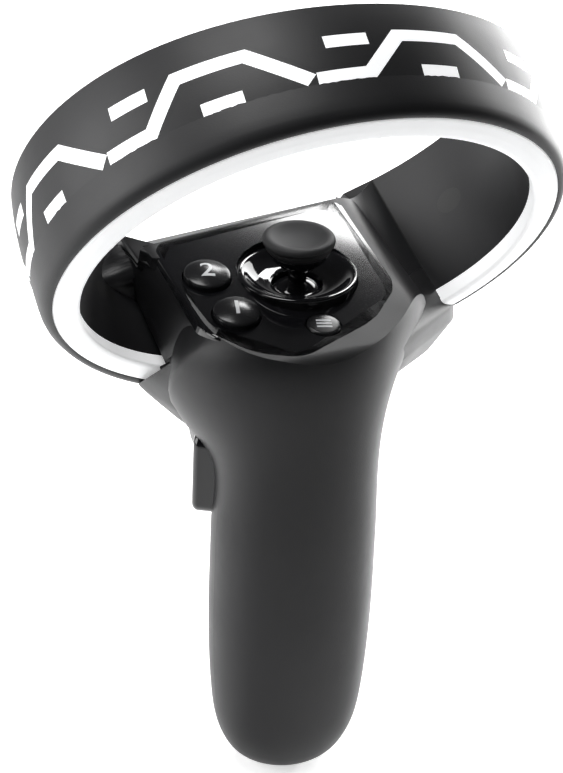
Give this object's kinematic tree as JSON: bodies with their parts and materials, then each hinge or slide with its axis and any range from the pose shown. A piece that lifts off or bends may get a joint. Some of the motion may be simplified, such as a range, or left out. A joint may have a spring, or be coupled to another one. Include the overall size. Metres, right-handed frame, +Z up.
{
  "type": "motion controller wand",
  "caption": "Upright grip with a tilted tracking ring round a thumb platform that carries a thumb stick and buttons, with a trigger and a grip button behind.",
  "frame": {"origin": "centre of the wand's outline on the plane that its foot touches", "axes": "+Z up along the grip, +X to the right of the person who holds it, +Y away from them"},
  "size_m": [0.116, 0.0866, 0.1936],
  "materials": {
    "shell": "satin",
    "ring": "satin",
    "ring_inside": "satin",
    "light": "frosted",
    "board": "matte",
    "plug": "matte",
    "panel": "gloss",
    "gloss": "gloss",
    "metal": "brushed",
    "inner": "matte",
    "cell": "satin",
    "rubber": "matte",
    "button": "gloss"
  },
  "bodies": {
    "root": {"front_shell": "shell", "rear_shell": "shell", "ring_outer_band": "ring", "ring_inner_band": "ring_inside", "pattern_light_guides": "light", "rim_light_guide": "light", "ring_led_strip": "board", "screw_plugs": "plug", "control_panel": "panel", "stick_dish": "gloss", "stick_housing": "metal", "stick_switch": "inner", "potentiometers": "inner", "panel_board": "board", "dome_switches": "metal", "trigger_pin": "metal", "trigger_spring": "metal", "charging_socket": "metal", "battery_cell": "cell", "cell_saddles": "inner", "main_board": "board", "vibration_motor": "metal", "grip_switch": "inner"},
    "gimbal": {"gimbal_ring": "inner"},
    "yoke": {"tilt_yoke": "inner"},
    "stick": {"stick": "gloss", "thumb_cap": "rubber"},
    "button_one": {"button_one": "button"},
    "button_two": {"button_two": "button"},
    "menu_button": {"menu_button": "button"},
    "trigger": {"trigger": "gloss"},
    "grip_button": {"grip_button": "gloss"}
  },
  "joints": [
    {"name": "stick_tilt_forward", "type": "hinge", "parent": "root", "child": "gimbal", "pos_m": [0.00378, 0.00046, 0.1068], "axis": [1, 0, 0], "range_deg": [-18, 18], "stiffness_Nm_per_rad": 0.03},
    {"name": "stick_tilt_sideways", "type": "hinge", "parent": "gimbal", "child": "yoke", "pos_m": [0.00378, 0.00046, 0.1068], "axis": [0, 1, 0], "range_deg": [-18, 18], "stiffness_Nm_per_rad": 0.03},
    {"name": "stick_press", "type": "slide", "parent": "yoke", "child": "stick", "axis": [0, 0, -1], "range_m": [0, 0.0005], "stiffness_N_per_m": 1500, "springref_m": -0.0004},
    {"name": "button_one_press", "type": "slide", "parent": "root", "child": "button_one", "axis": [0, 0.1564, -0.9877], "range_m": [0, 0.001], "stiffness_N_per_m": 800, "springref_m": -0.0004},
    {"name": "button_two_press", "type": "slide", "parent": "root", "child": "button_two", "axis": [0, 0.1564, -0.9877], "range_m": [0, 0.001], "stiffness_N_per_m": 800, "springref_m": -0.0004},
    {"name": "menu_button_press", "type": "slide", "parent": "root", "child": "menu_button", "axis": [0, 0.1564, -0.9877], "range_m": [0, 0.001], "stiffness_N_per_m": 800, "springref_m": -0.0004},
    {"name": "trigger_pull", "type": "hinge", "parent": "root", "child": "trigger", "pos_m": [-0.00102, 0.00996, 0.088], "axis": [-1, 0, 0], "range_deg": [0, 14], "stiffness_Nm_per_rad": 0.08, "springref_deg": -11.46},
    {"name": "grip_squeeze", "type": "slide", "parent": "root", "child": "grip_button", "axis": [0.848, -0.5299, 0], "range_m": [0, 0.0014], "stiffness_N_per_m": 900, "springref_m": -0.0005}
  ]
}
